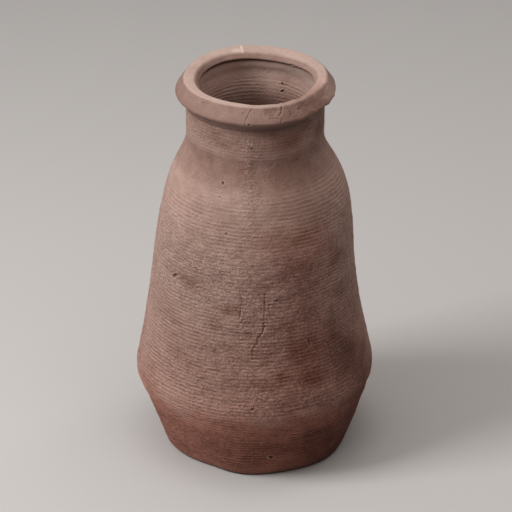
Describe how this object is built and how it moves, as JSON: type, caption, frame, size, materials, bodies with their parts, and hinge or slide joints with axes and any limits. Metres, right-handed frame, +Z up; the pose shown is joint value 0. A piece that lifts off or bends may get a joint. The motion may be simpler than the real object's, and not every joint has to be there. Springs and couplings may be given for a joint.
{
  "type": "mud pot",
  "caption": "Tall open clay jar with a flat foot, a sharp low belly, a tapering ringed body, a straight neck and a broad rolled rim.",
  "frame": {"origin": "centre of the underside, on the surface that the pot stands on", "axes": "+Z up through the mouth, -Y towards the front as pictured, +X to the right"},
  "size_m": [0.2412, 0.2412, 0.4044],
  "materials": {
    "foot_clay": "matte",
    "ringed_clay": "matte",
    "rim_clay": "matte"
  },
  "bodies": {
    "root": {"base_slab": "foot_clay", "lower_wall": "foot_clay", "body_wall": "ringed_clay", "neck_collar": "ringed_clay", "rim_roll": "rim_clay"}
  },
  "joints": []
}
